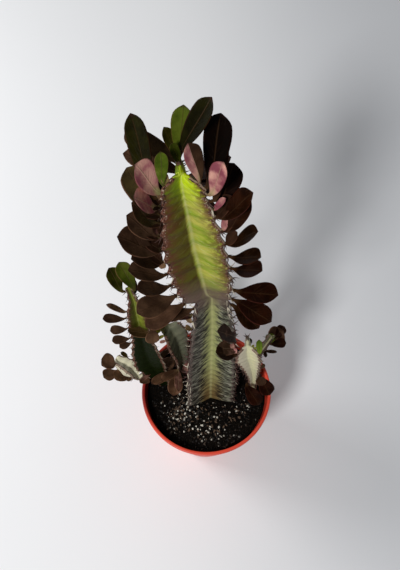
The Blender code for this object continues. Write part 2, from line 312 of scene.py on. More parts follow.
# %% [markdown]
# ## Measuring the CAD nodes
#
# Every stem and leaf in the frame is a tube: rings of points from one end to the other. Walking the
# mesh from its first ring to the next gives the line that the fine piece follows, so nothing about
# its place is typed in again here.

# %% Walk the rings of a tube
SHOOT_CORNERS = 9
LEAF_CORNERS = 4
WELD = 0.002 * MM


def rings_of(node, count, first_ring):
    """The rings of a CAD tube as arrays of points, walked from the ring that first_ring picks."""
    bm = bmesh.new()
    bm.from_mesh(frame["nodes"][node].data)
    bmesh.ops.remove_doubles(bm, verts=bm.verts, dist=WELD)
    ring = set(first_ring(list(bm.verts), count))
    seen, rings = set(), []
    while ring:
        rings.append(np.array(sorted(tuple(point.co) for point in ring)))
        seen |= ring
        ring = {edge.other_vert(point) for point in ring for edge in point.link_edges} - seen
    bm.free()
    return rings


def tightest(points, count):
    """The points of the smallest cluster: a leaf's tip."""
    def reach(point):
        return sorted((other.co - point.co).length for other in points)[count - 1]

    heart = min(points, key=reach)
    return sorted(points, key=lambda point: (point.co - heart.co).length)[:count]


def lowest(points, count):
    return sorted(points, key=lambda point: point.co.z)[:count]


def rightmost(points, count):
    return sorted(points, key=lambda point: -point.co.x)[:count]


for node in ("main_stem", "shoot_left_tall"):
    print(node, "rings:", len(rings_of(node, SHOOT_CORNERS, lowest)))
leaf_ring_counts = {len(rings_of(node, LEAF_CORNERS, tightest)) for node in leaf_nodes}
print("leaf rings:", sorted(leaf_ring_counts))

# %% A smooth line through measured knots
def along(places, values, wanted):
    """Values at the wanted places, on one smooth line through the knots."""
    places, values, wanted = np.asarray(places), np.asarray(values, float), np.asarray(wanted)
    slopes = np.gradient(values, places, axis=0)
    index = np.clip(np.searchsorted(places, wanted) - 1, 0, len(places) - 2)
    span = (places[index + 1] - places[index]).reshape(-1, *[1] * (values.ndim - 1))
    share = (wanted - places[index]).reshape(span.shape) / span
    start, end = values[index], values[index + 1]
    leave, arrive = slopes[index] * span, slopes[index + 1] * span
    square, cube = share ** 2, share ** 3
    return (start * (2 * cube - 3 * square + 1) + end * (3 * square - 2 * cube)
            + leave * (cube - 2 * square + share) + arrive * (cube - square))


def unit(vectors):
    """The vectors at length 1."""
    return vectors / np.maximum(np.linalg.norm(vectors, axis=-1, keepdims=True), 1e-12)


def ramp(value, low, high):
    """0 at low and 1 at high, held at those values beyond them."""
    return float(np.clip((value - low) / (high - low), 0, 1))


# %% [markdown]
# ## Tubes
#
# A leaf and a stem are both closed tubes, only of another section. A curve with a bevel could make
# them, but it keeps one section all along. So a cone has its upright edges cut into rings, and each
# ring then moves to where the section says.

# %% A closed tube of rings
def cut_upright(bm, cuts):
    """Cut the upright edges of a fresh cone, so that it becomes a stack of rings."""
    upright = [edge for edge in bm.edges if abs(edge.verts[0].co.z - edge.verts[1].co.z) > 0.5]
    bmesh.ops.subdivide_edges(bm, edges=upright, cuts=cuts)


def tube(sides, rings, map_name, mark_names):
    """A closed tube with a map and marks, and its rings as lists of points in turning order."""
    bm = bmesh.new()
    bm.loops.layers.uv.new(map_name)
    for name in mark_names:
        bm.verts.layers.float.new(name)
    bmesh.ops.create_cone(bm, cap_ends=True, segments=sides, radius1=1, radius2=1, depth=rings - 1)
    cut_upright(bm, rings - 2)
    loops = [[] for _ in range(rings)]
    for point in bm.verts:
        loops[round(point.co.z + (rings - 1) / 2)].append(point)
    seam_slack = 0.01  # keeps the point at angle 0 first
    for loop in loops:
        loop.sort(key=lambda point: (math.atan2(point.co.y, point.co.x) + seam_slack) % math.tau)
    return bm, loops


# %% Copy shapes between meshes
def pour(piece, into, times=1):
    """Add one bmesh's shape to another, once or more, and free it."""
    carrier = bpy.data.meshes.new("carrier")
    piece.to_mesh(carrier)
    piece.free()
    for _ in range(times):
        into.from_mesh(carrier)
    bpy.data.meshes.remove(carrier)


def copies(template, count):
    """A bmesh that holds the template's shape count times, and the points of each copy."""
    bm = bmesh.new()
    pour(template, bm, count)
    bm.verts.ensure_lookup_table()
    size = len(bm.verts) // count
    return bm, [bm.verts[copy * size:(copy + 1) * size] for copy in range(count)]


# %% [markdown]
# ## Leaf skin
#
# The leaves are waxy and nearly black with red in them, and a few are green, pink or bronze. Each
# could have its own material, but they grade into one another. So one skin serves them all, and
# each leaf carries four attributes:
#
# - `green`: 0 is maroon, 1 is fresh green, and 2 is yellow.
# - `pink`: how much of the blade blushes.
# - `half`: 0 lets both halves blush, and 1 or -1 only one of them.
# - the fourth, for bronze and painted light: 0 is dark, 1 is bronze with painted light, 2 is
#   redder, and below 0 it falls to black as painted shade.
#
# A pale midrib, faint side veins, a thin margin and a dark tip follow the blade wherever it bends,
# because they read the leaf's own map.

# %% Leaf skin material
def leaf_skin():
    """Maroon, olive, green, yellow, bronze or pink skin, as the leaf's attributes say.

    The bronze amount is partly painted light, and below 0 it is painted shade.
    """
    skin = Finish("leaf_skin", Specular_IOR_Level=0.035)
    across, share, _ = skin.axes(skin.node("ShaderNodeUVMap", {"uv_map": "leaf"}, {}))
    green, half = skin.attribute("green"), skin.attribute("half")
    pink = skin.attribute("pink") * (1 - abs(half) * skin.smooth(across * half * -1, 0.0, 0.05))
    place = skin.place()
    cloud = skin.smooth(skin.noise(place, 90.0, detail=4.0), 0.35, 0.7)
    fine = skin.noise(place, 900.0, detail=3.0)
    off_centre = abs(across)
    midrib = 1 - skin.smooth(off_centre, 0.0, 0.09)
    margin = skin.smooth(off_centre, 0.86, 1.0)
    vein_map = skin.vector(off_centre * 1.5, share * 16 - off_centre * 5, 0.0)
    vein_lines = skin.smooth(skin.noise(vein_map, 1.0, detail=2.0), 0.52, 0.62)
    painted_light_and_bronze = skin.attribute("bronze_and_painted_light")
    maroon = skin.mix(cloud, (0.0070, 0.0016, 0.0006), (0.020, 0.0045, 0.0018))
    bronze_and_painted_light = skin.mix(cloud, (0.046, 0.023, 0.013), (0.110, 0.058, 0.033))
    russet = skin.mix(cloud, (0.06, 0.024, 0.010), (0.17, 0.075, 0.032))
    olive = skin.mix(cloud, (0.012, 0.011, 0.0010), (0.036, 0.036, 0.0030))
    fresh = skin.mix(cloud, (0.055, 0.095, 0.006), (0.14, 0.20, 0.018))
    rose = skin.mix(cloud, (0.30, 0.075, 0.105), (0.60, 0.32, 0.25))
    pale = skin.mix(pink, (0.050, 0.024, 0.010), (0.50, 0.36, 0.22))
    rim = skin.mix(painted_light_and_bronze, (0.090, 0.020, 0.013), (0.24, 0.12, 0.065))
    stalk_side = 1 - skin.smooth(share + off_centre * 0.15, 0.16, 0.42)
    # The bronze amount is partly the leaf's own bronze and partly painted light: it lifts a leaf to
    # bronze, then to russet, and brightens its rim. Below 0 it is painted shade, which darkens the
    # leaf to black.
    colour = skin.layers(
        maroon,
        (painted_light_and_bronze, bronze_and_painted_light),
        (vein_lines * 0.25, (0.046, 0.018, 0.008)),
        (skin.smooth(green, 0.0, 0.55), olive),
        (skin.smooth(green, 0.55, 1.0), fresh),
        (skin.smooth(green, 1.0, 2.0), (0.62, 0.62, 0.07)),
        (skin.smooth(painted_light_and_bronze, 0.0, -1.0) * 0.85, (0.0010, 0.0008, 0.0003)),
        (skin.smooth(painted_light_and_bronze, 1.0, 2.0), russet),
        (skin.smooth(pink + (cloud - 0.5) * 0.3, 0.15, 0.85), rose),
        (pink * stalk_side * 0.8, (0.34, 0.33, 0.13)),
        (midrib * 0.45, pale),
        (margin * (0.45 + painted_light_and_bronze * 0.25), rim),
        (skin.smooth(share, 0.93, 1.0) * 0.7, (0.035, 0.014, 0.01)),
        ((1 - skin.smooth(share, 0.02, 0.22)) * 0.6, (0.080, 0.040, 0.016)),
    )
    rough = 0.34 + fine * 0.14 + vein_lines * 0.05
    relief = fine * 0.25 + vein_lines * 0.4 - midrib * 0.8
    return skin.finish(colour, rough, relief, depth=0.15 * MM)


leaf_material = leaf_skin()

# %% [markdown]
# ## Leaves
#
# A leaf is spoon shaped: a short stalk widens into a blade that is broadest past its middle, ends
# in a blunt tip with a tiny point, and folds a little along its midrib. The outline gives the
# blade's width, as a share of its half width, at places from 0 at the stalk to 1 at the tip. A bent
# plane would be paper thin at its rim, so the blade is a flattened tube with a real edge.

# %% Build one leaf along a line
LEAF_MARKS = ("green", "pink", "half", "bronze_and_painted_light")
LEAF_SIDES = 12
LEAF_RINGS = 17
LEAF_FOLD = 0.28
STALK_END = 0.12
STALK_SWELL = 1.6
OUTLINE_PLACES = [0.0, 0.05, 0.13, 0.25, 0.38, 0.52, 0.66, 0.78, 0.87, 0.93, 0.965, 1.0]
OUTLINE_WIDTHS = [0.14, 0.15, 0.28, 0.52, 0.77, 0.95, 1.05, 1.05, 0.92, 0.69, 0.40, 0.03]


def add_leaf(into, places, points, across, up, half_width, tint, thickness=0.75 * MM):
    """Add a blade whose midrib runs through the knots, with its upper side towards up."""
    bm, loops = tube(LEAF_SIDES, LEAF_RINGS, "leaf", LEAF_MARKS)
    shares = np.sin(np.linspace(0, math.pi / 2, LEAF_RINGS)) ** 1.15
    middle = along(places, points, shares)
    sideways, upward = unit(along(places, across, shares)), unit(along(places, up, shares))
    widths = np.interp(shares, OUTLINE_PLACES, OUTLINE_WIDTHS) * half_width
    uv = bm.loops.layers.uv["leaf"]
    marks = [bm.verts.layers.float[name] for name in LEAF_MARKS]
    map_place = {}
    for ring, loop in enumerate(loops):
        share, width = shares[ring], widths[ring]
        stalk = STALK_SWELL if share < STALK_END else 1.0
        tip_taper = min(1.0, 14 * (1.002 - share))
        deep = thickness / 2 * stalk * tip_taper
        for side, point in enumerate(loop):
            turn = math.tau * side / LEAF_SIDES
            out, lift = math.cos(turn), math.sin(turn)
            rise = LEAF_FOLD * width * (abs(out) ** 1.5) * min(1.0, share * 3)
            keel = 1 + 0.8 * (lift < 0) * (1 - abs(out))
            offset = sideways[ring] * out * width + upward[ring] * (rise + deep * lift * keel)
            point.co = Vector(middle[ring] + offset)
            for mark, amount in zip(marks, tint):
                point[mark] = amount
            map_place[point] = (out, share)
    for face in bm.faces:
        for corner in face.loops:
            corner[uv].uv = map_place[corner.vert]
    bmesh.ops.recalc_face_normals(bm, faces=bm.faces)
    pour(bm, into)


# %% Read a CAD leaf's line
def leaf_line(node):
    """Knots of a CAD leaf from stalk to tip: places, midrib points, across and up, half width."""
    rings = rings_of(node, LEAF_CORNERS, tightest)[::-1]
    pairs = [(a, b) for a in range(LEAF_CORNERS) for b in range(a + 1, LEAF_CORNERS)]
    points, arms = [], []
    for ring in rings:
        a, b = max(pairs, key=lambda pair: np.linalg.norm(ring[pair[0]] - ring[pair[1]]))
        rest = [ring[index] for index in range(LEAF_CORNERS) if index not in (a, b)]
        points.append((rest[0] + rest[1]) / 2)
        arm = (ring[a] - ring[b]) / 2
        arms.append(arm if not arms or arm @ arms[-1] > 0 else -arm)
    widest = max(range(len(arms)), key=lambda index: np.linalg.norm(arms[index]))
    points, arms = np.array(points), np.array(arms) * (1 if arms[widest][0] > 0 else -1)
    rise = rings[widest].mean(axis=0) - points[widest]
    lengths = np.linalg.norm(np.diff(points, axis=0), axis=1)
    places = np.concatenate([[0], np.cumsum(lengths)]) / lengths.sum()
    across = unit(arms)
    up = np.cross(unit(np.gradient(points, places, axis=0)), across)
    up *= 1 if up[widest] @ rise > 0 else -1
    return places, points, across, up, float(np.linalg.norm(arms[widest]))


# %% The CAD's leaves
# The green, pink, half and bronze amounts of the leaves that aren't plain maroon. The bronze
# amount is partly painted light, and below 0 it is painted shade.
TINTS = {
    "leaf_right_10": (0.05, 0.72, 0, 0.1), "leaf_right_13": (0.1, 0.8, -1, 0.5),
    "leaf_left_11": (0.1, 0.95, 0, 0.4), "leaf_left_12": (0.15, 1.2, 0, 0.5),
    "leaf_left_13": (0.42, 0.0, 0, -0.6), "leaf_left_14": (0.82, 0.12, 0, 0.4),
    "leaf_back_09": (0.46, 0.0, 0, 0.1), "leaf_back_10": (0.74, 0.0, 0, 0.1),
    "leaf_back_11": (0.40, 0.0, 0, -0.8), "leaf_back_08": (0.2, 0.0, 0, 0.5),
    "leaf_right_12": (0.0, 0.0, 0, -0.9), "leaf_right_09": (0.0, 0.0, 0, -0.5),
    "shoot_left_tall_leaf_1": (0.6, 0.05, 0, 0.6), "shoot_left_tall_leaf_2": (0.7, 0.05, 0, 0.6),
    "leaf_left_09": (0.2, 0.1, 0, 0.5), "leaf_left_10": (0.3, 0.0, 0, 0.5),
}
# Leaves that are narrower than the CAD's, as a share of its width: four in the crown, and the two
# outermost ones, whose rims would pass the CAD box.
NARROW = {"leaf_back_11": 0.76, "leaf_left_13": 0.84, "leaf_back_09": 0.85, "leaf_left_14": 0.85,
          "shoot_left_low_leaf_1": 0.74, "shoot_right_far_leaf_1": 0.77}
LEAF_AND_THORN_SEED = 7
dice = random.Random(LEAF_AND_THORN_SEED)
for node in leaf_nodes:
    places, points, across, up, half_width = leaf_line(node)
    half_width *= NARROW.get(node, 1.0)
    # The lamps stand to the left, so the leaves that reach that way get painted light: their
    # colour is lifted towards bronze.
    painted_light_on_left = ramp(-points[-1][0], -15 * MM, 45 * MM)
    plain = (dice.uniform(0.0, 0.1), 0.0, 0, painted_light_on_left * dice.uniform(0.6, 1.0))
    tint = TINTS.get(node, plain)
    blade = bmesh.new()
    add_leaf(blade, places, points, across, up, half_width, tint)
    fine_leaf = put(blade, "fine_" + node, leaf_material, "leaf_skin")
    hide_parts(node)
print("fine leaves:", len(leaf_nodes))

# %% [markdown]
# ## Stem skin
#
# The young crown is yellow-green, in broad green and straw bands with fine hairlines across them.
# Below the pinch the wood is old: a soft green middle, grey flanks, and pale and dark strokes that
# run out and down. The edges are a grit of dark, pink-brown and cream scars. The look attributes
# say which of these holds where. One mark picks the faces on the left, which get painted shade;
# another paints shade low on the tall shoot, and a thin cream painted highlight runs along the
# outermost edge of the faces on the right. The bands and strokes are noise, stretched on the
# shoot's own map so that they keep their direction where the stem leans.

# %% Young crown's skin
def young_skin(skin, line, side, grain):
    """The flush above the pinch: bands across the lit face, and bright on top.

    The faces on the left get painted shade.
    """
    out = abs(side)
    painted_shade_left, fresh = skin.attribute("painted_shade_left"), skin.attribute("fresh")
    band_map = skin.vector(side * 0.9, line * 1.3, 0.0)
    band = skin.smooth(skin.noise(band_map, 1.0, detail=4.0), 0.34, 0.66)
    lit = skin.mix(band, (0.24, 0.33, 0.022), (0.47, 0.44, 0.080))
    # Painted shade: the faces on the left take this darker, browner colour.
    painted_dusk = skin.mix(band, (0.064, 0.036, 0.004), (0.092, 0.086, 0.009))
    lit = skin.mix(fresh, lit, (0.50, 0.66, 0.008))
    painted_dusk = skin.mix(fresh, painted_dusk, (0.13, 0.20, 0.006))
    hair_map = skin.vector(side * 1.2, line * 9.0, 0.0)
    hair = skin.smooth(skin.noise(hair_map, 1.0, detail=4.0), 0.44, 0.70)
    thread_map = skin.vector(side * 2.4, line * 14.0, 0.5)
    thread = skin.smooth(skin.noise(thread_map, 1.0, detail=2.0), 0.58, 0.68)
    blush = skin.smooth(out, 0.30, 1.0) * skin.smooth(grain + out * 0.1, 0.42, 0.62)
    return skin.layers(
        lit,
        (painted_shade_left * skin.smooth(out, 0.0, 0.16), painted_dusk),
        (hair * (0.22 + out * 0.4), (0.070, 0.052, 0.007)),
        (thread * (1 - painted_shade_left * 0.8) * 0.4, (0.62, 0.62, 0.30)),
        (blush * 0.85, (0.105, 0.030, 0.020)),
    )


# %% Old wood's skin
def old_skin(skin, out, streak, grain):
    """The wood below the pinch: a green middle, grey flanks, and pale and dark strokes.

    The faces on the left get painted shade.
    """
    painted_shade_left = skin.attribute("painted_shade_left")
    mottle = skin.smooth(grain, 0.35, 0.65)
    core = 1 - skin.smooth(out + (streak - 0.5) * 0.9, 0.02, 0.62)
    brown = skin.attribute("brown") * (1 - skin.smooth(out, 0.25, 0.7))
    thread = skin.smooth(streak, 0.46, 0.34) * skin.smooth(out, 0.20, 0.60)
    stroke = skin.smooth(streak, 0.47, 0.55) * skin.smooth(out, 0.08, 0.38)
    return skin.layers(
        skin.mix(mottle, (0.074, 0.070, 0.050), (0.215, 0.222, 0.150)),
        # Painted shade darkens the faces on the left.
        (painted_shade_left * 0.5, (0.070, 0.060, 0.056)),
        (core, (0.31, 0.32, 0.12)),
        (brown * 0.85, (0.15, 0.082, 0.030)),
        (thread * (1 - painted_shade_left * 0.5) * 0.7, (0.34, 0.31, 0.26)),
        (stroke * 0.92, (0.014, 0.011, 0.009)),
    )


# %% Stem skin material
def stem_skin():
    """Skin of every shoot: side runs over a face from wing to wing, and height along the shoot."""
    skin = Finish("winged_stem", Specular_IOR_Level=0.05)
    side, height, _ = skin.axes(skin.node("ShaderNodeUVMap", {"uv_map": "face"}, {}))
    place, painted_shade_left = skin.place(), skin.attribute("painted_shade_left")
    out = abs(side)
    drift = skin.noise(place, 110.0, detail=2.0)
    line = height * 10 + out * 1.1 + drift * 0.9
    streak_map = skin.vector(side * 1.6, line * 4.2, 0.0)
    streak = skin.noise(streak_map, 1.0, detail=4.0, roughness=0.6)
    grain = skin.noise(place, 320.0, detail=4.0, roughness=0.65)
    grit = skin.noise(place, 900.0, detail=2.0)
    age = skin.smooth(skin.attribute("age") + (drift - 0.5) * 0.5, 0.2, 0.8)
    crease = (1 - skin.smooth(out, 0.0, 0.10)) * (0.15 + grain * 0.5)
    # On the near shoot, painted shade makes the left faces dark olive and leaves the others grey.
    grey = skin.mix(painted_shade_left, (0.150, 0.150, 0.120), (0.036, 0.034, 0.010))
    # Painted shade: near-black green where the shade mark says, low on the tall shoot and faintly
    # on the far right shoot.
    painted_night = skin.mix(grain, (0.0020, 0.0020, 0.0003), (0.010, 0.018, 0.002))
    edge = skin.smooth(out + (grit - 0.5) * 0.16, 0.88, 0.99)
    # Painted highlight: a cream line on the outermost edge of the faces on the right.
    painted_highlight_rim = skin.smooth(out, 1.02, 1.08) * (1 - painted_shade_left)
    scar = skin.layers(
        skin.mix(skin.smooth(grit, 0.42, 0.50), (0.020, 0.010, 0.008), (0.15, 0.060, 0.042)),
        (skin.smooth(grit, 0.60, 0.66), (0.46, 0.40, 0.30)),
        (painted_highlight_rim * 0.6, (0.52, 0.42, 0.30)),
        (age * 0.8, skin.mix(grit, (0.020, 0.016, 0.015), (0.15, 0.13, 0.115))),
    )
    colour = skin.layers(
        young_skin(skin, line, side, grain),
        (age, old_skin(skin, out, streak, grain)),
        (skin.attribute("pinch") * (0.5 + grain * 0.7), (0.130, 0.085, 0.066)),
        (crease, (0.48, 0.46, 0.22)),
        (skin.attribute("pale") * (0.55 + streak * 0.5), (0.84, 0.78, 0.60)),
        (skin.attribute("grey"), grey),
        (skin.attribute("shade"), painted_night),
        (edge * 0.9, scar),
    )
    rough = 0.42 + grain * 0.25
    relief = streak * 0.7 + grain * 0.4 + grit * edge * 0.8
    return skin.finish(colour, rough, relief, depth=0.35 * MM)


stem_material = stem_skin()

# %% [markdown]
# ## Stems
#
# A shoot's section is a three-pointed star with thin rounded points. Its CAD rings give the
# centre line, the three wings' directions and where each tooth stands. Between teeth the wing's
# edge dips in a shallow curve. Teeth could be separate cones, but here the rings themselves swell
# and shrink, so a tooth grows out of its wing without a seam.

# %% Read a CAD shoot
WINGS = 3
LEAST_TOOTH = 0.35 * MM


def wings_of(ring, centre):
    """The three wings' arms of one ring of nine points, from the centre to each edge's middle."""
    outer = sorted(ring, key=lambda point: -np.linalg.norm(point - centre))[:2 * WINGS]
    arms = []
    while outer:
        first = outer.pop(0)
        partner = min(range(len(outer)), key=lambda index: np.linalg.norm(outer[index] - first))
        arms.append((first + outer.pop(partner)) / 2 - centre)
    return arms


def shoot_line(node, first_ring):
    """Places, centres, arms and wing radius along a CAD shoot, and the places of its teeth."""
    rings = rings_of(node, SHOOT_CORNERS, first_ring)
    centres = np.array([ring.mean(axis=0) for ring in rings])
    arms = []
    for ring, centre in zip(rings, centres):
        found = wings_of(ring, centre)
        if arms:
            found = [max(found, key=lambda arm: unit(arm) @ unit(known)) for known in arms[-1]]
        arms.append(found)
    arms = np.array(arms)
    steps = np.linalg.norm(np.diff(centres, axis=0), axis=1)
    places = np.concatenate([[0], np.cumsum(steps)])
    radius = np.linalg.norm(arms, axis=2).mean(axis=1)
    smooth_radius = radius.copy()
    teeth = []
    for index in range(1, len(radius) - 1):
        beside = [index - 1, index + 1]
        level = np.interp(places[index], places[beside], radius[beside])
        if radius[index] - level > LEAST_TOOTH:
            smooth_radius[index] = level
            teeth.append(places[index])
    return places, centres, unit(arms), smooth_radius, np.array(teeth)


# %% The section of a shoot
FACE_STEPS = 6
MARGIN = 1.2 * MM
GROOVE = 0.27


def tooth_shape(place, teeth):
    """1 on a tooth, easing to 0 halfway to its neighbour."""
    gaps = np.abs(teeth - place)
    nearest = int(gaps.argmin())
    pitch = np.diff(teeth)[min(nearest, len(teeth) - 2)]
    return max(0.0, 1 - 2 * gaps[nearest] / pitch)


def section(centre, arms, radius, shape, forward):
    """Points round the shoot: for each wing its edge, then the face as far as the next wing."""
    half = min(MARGIN, radius * 0.3)
    points = []
    for wing in range(WINGS):
        arm, following = arms[wing], arms[(wing + 1) % WINGS]
        start = centre + arm * (radius - half * 0.4) + np.cross(forward, arm) * half
        end = centre + following * (radius - half * 0.4) - np.cross(forward, following) * half
        outward = unit(arm + following)
        groove = centre + outward * radius * GROOVE
        points.append(centre + arm * (radius + half * 0.35))
        for step in range(-FACE_STEPS, FACE_STEPS + 1):
            side = step / FACE_STEPS
            swell = radius * 0.03 * math.sin(math.pi * abs(side)) * (1 + shape)
            bend = ((start + end) / 2 - groove) * abs(side) ** 1.2
            valley = groove + (end - start) / 2 * side + bend
            points.append(valley + outward * swell)
    return points


# %% The map of a shoot
MAP_SCALE = 10
WING_SIDE = 1.1


def map_shoot(bm, slot_of):
    """Write a shoot's map: side runs from -1 to 1 over a face, and past them on a wing's edge."""
    uv = bm.loops.layers.uv["face"]
    for face in bm.faces:
        slots = [slot_of[corner.vert][0] for corner in face.loops]
        for corner, slot in zip(face.loops, slots):
            margin_side = -WING_SIDE if 1 in slots else WING_SIDE
            side = (slot - 1 - FACE_STEPS) / FACE_STEPS if slot else margin_side
            corner[uv].uv = (side, slot_of[corner.vert][1])


# %% Build one fine shoot
RING_STEP = 1.3 * MM
FULL_WING = 8 * MM
STEM_MARKS = ("painted_shade_left", "age", "pinch", "fresh", "brown", "pale", "grey", "shade")
PLAIN_LOOK = dict.fromkeys(STEM_MARKS[1:], 0.0)


def build_shoot(node, first_ring, tooth_height, look):
    """The fine shoot that stands for a CAD one. Gives back its line for thorns and small leaves.

    The look gives the marks at a point of the centre line, and swell, which widens the wings there.
    """
    places, centres, arms, radius, teeth = shoot_line(node, first_ring)
    wanted = np.linspace(0, places[-1], max(8, int(places[-1] / RING_STEP)))
    middle, turning = along(places, centres, wanted), unit(along(places, arms, wanted))
    swell = np.array([look(point).get("swell", 0.0) for point in middle])
    reach = np.interp(wanted, places, radius) * (1 + swell)
    forward = unit(np.gradient(middle, wanted, axis=0))
    sector = 2 * FACE_STEPS + 2
    bm, loops = tube(WINGS * sector, len(wanted), "face", STEM_MARKS)
    layers = {name: bm.verts.layers.float[name] for name in STEM_MARKS}
    flip = 1 if np.cross(turning[0][0], turning[0][1]) @ forward[0] > 0 else -1
    slot_of = {}
    for index, loop in enumerate(loops):
        shape = tooth_shape(wanted[index], teeth)
        tooth = tooth_height * (shape ** 1.8 - 0.3) * min(1.0, reach[index] / FULL_WING)
        grown = reach[index] + tooth
        order = turning[index] if flip > 0 else turning[index][::-1]
        ring = section(middle[index], order, grown, shape, forward[index])
        for slot, (point, target) in enumerate(zip(loop, ring)):
            point.co = Vector(target)
            # Points left of the centre line are marked for painted shade.
            painted_shade_left = ramp(target[0], middle[index][0] + 2 * MM, middle[index][0] - 2 * MM)
            marks = {**PLAIN_LOOK, **look(middle[index]), "painted_shade_left": painted_shade_left}
            for mark, layer in layers.items():
                point[layer] = marks[mark]
            slot_of[point] = (slot % sector, wanted[index] * MAP_SCALE)
    map_shoot(bm, slot_of)
    bmesh.ops.recalc_face_normals(bm, faces=bm.faces)
    made = put(bm, "fine_" + node, stem_material, "winged_stem")
    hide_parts(node)
    print(node, "teeth on each wing:", len(teeth), "length in mm:", round(places[-1] / MM))
    return {"places": places, "centres": centres, "arms": arms, "radius": radius, "teeth": teeth}


# %% How each shoot's skin ages
PINCH_OVER_RIM = 193 * MM
CROWN = 411 * MM, 434 * MM
CROWN_SWELL = 420 * MM, 435 * MM
TALL_SHADE = 222 * MM, 198 * MM
STEM_TOOTH = 2.6 * MM
SHOOT_TOOTH = 1.4 * MM
pinch_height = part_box("pot")[1].z + PINCH_OVER_RIM
soil_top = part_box("soil")[1].z


def main_look(point):
    """Old below the pinch, brown at its foot, scarred at the pinch itself and bright at the top."""
    height = point[2]
    return {"age": ramp(height, pinch_height + 22 * MM, pinch_height - 14 * MM),
            "pinch": ramp(abs(height - pinch_height - 3 * MM), 28 * MM, 6 * MM),
            "fresh": ramp(height, *CROWN),
            "swell": 0.6 * ramp(height, *CROWN_SWELL),
            "brown": ramp(height, soil_top + 90 * MM, soil_top + 15 * MM)}


def tall_look(point):
    """Bright at the tip, and nearly black green low down where other leaves crowd it.

    The dark low down is painted shade.
    """
    return {"fresh": 0.25, "shade": 0.5 + 0.5 * ramp(point[2], *TALL_SHADE)}


SHOOT_LOOKS = {
    "shoot_left_tall": tall_look,
    "shoot_left_near": lambda point: {"grey": 0.9},
    "shoot_left_low": lambda point: {"pale": 1.0, "age": 0.2},
    "shoot_right": lambda point: {"pale": 0.7, "age": 0.15},
    "shoot_right_far": lambda point: {"pale": 0.35, "age": 0.4, "shade": 0.1},
}
tooth_heights = {"main_stem": STEM_TOOTH, **dict.fromkeys(shoot_nodes, SHOOT_TOOTH)}
lines = {"main_stem": build_shoot("main_stem", lowest, STEM_TOOTH, main_look)}
for node in shoot_nodes:
    root_side = rightmost if node.endswith("low") else lowest
    lines[node] = build_shoot(node, root_side, SHOOT_TOOTH, SHOOT_LOOKS[node])

# %% [markdown]
# ## Young leaves
#
# Each shoot also carries leaves that the CAD model leaves out: fresh ones round the growing tips,
# pink bracts under the crown, a crowd of small brown ones low on the left, and those of the back
# wing that show between the others. A random scatter would put them where the real plant has none,
# so they stand in a table. Each row picks a wing by the heading it faces, and the tooth on it that
# is nearest to a height, and then gives the leaf's own heading, lift and size. Headings, lifts and
# rolls are in degrees, and heights and sizes in millimetres.

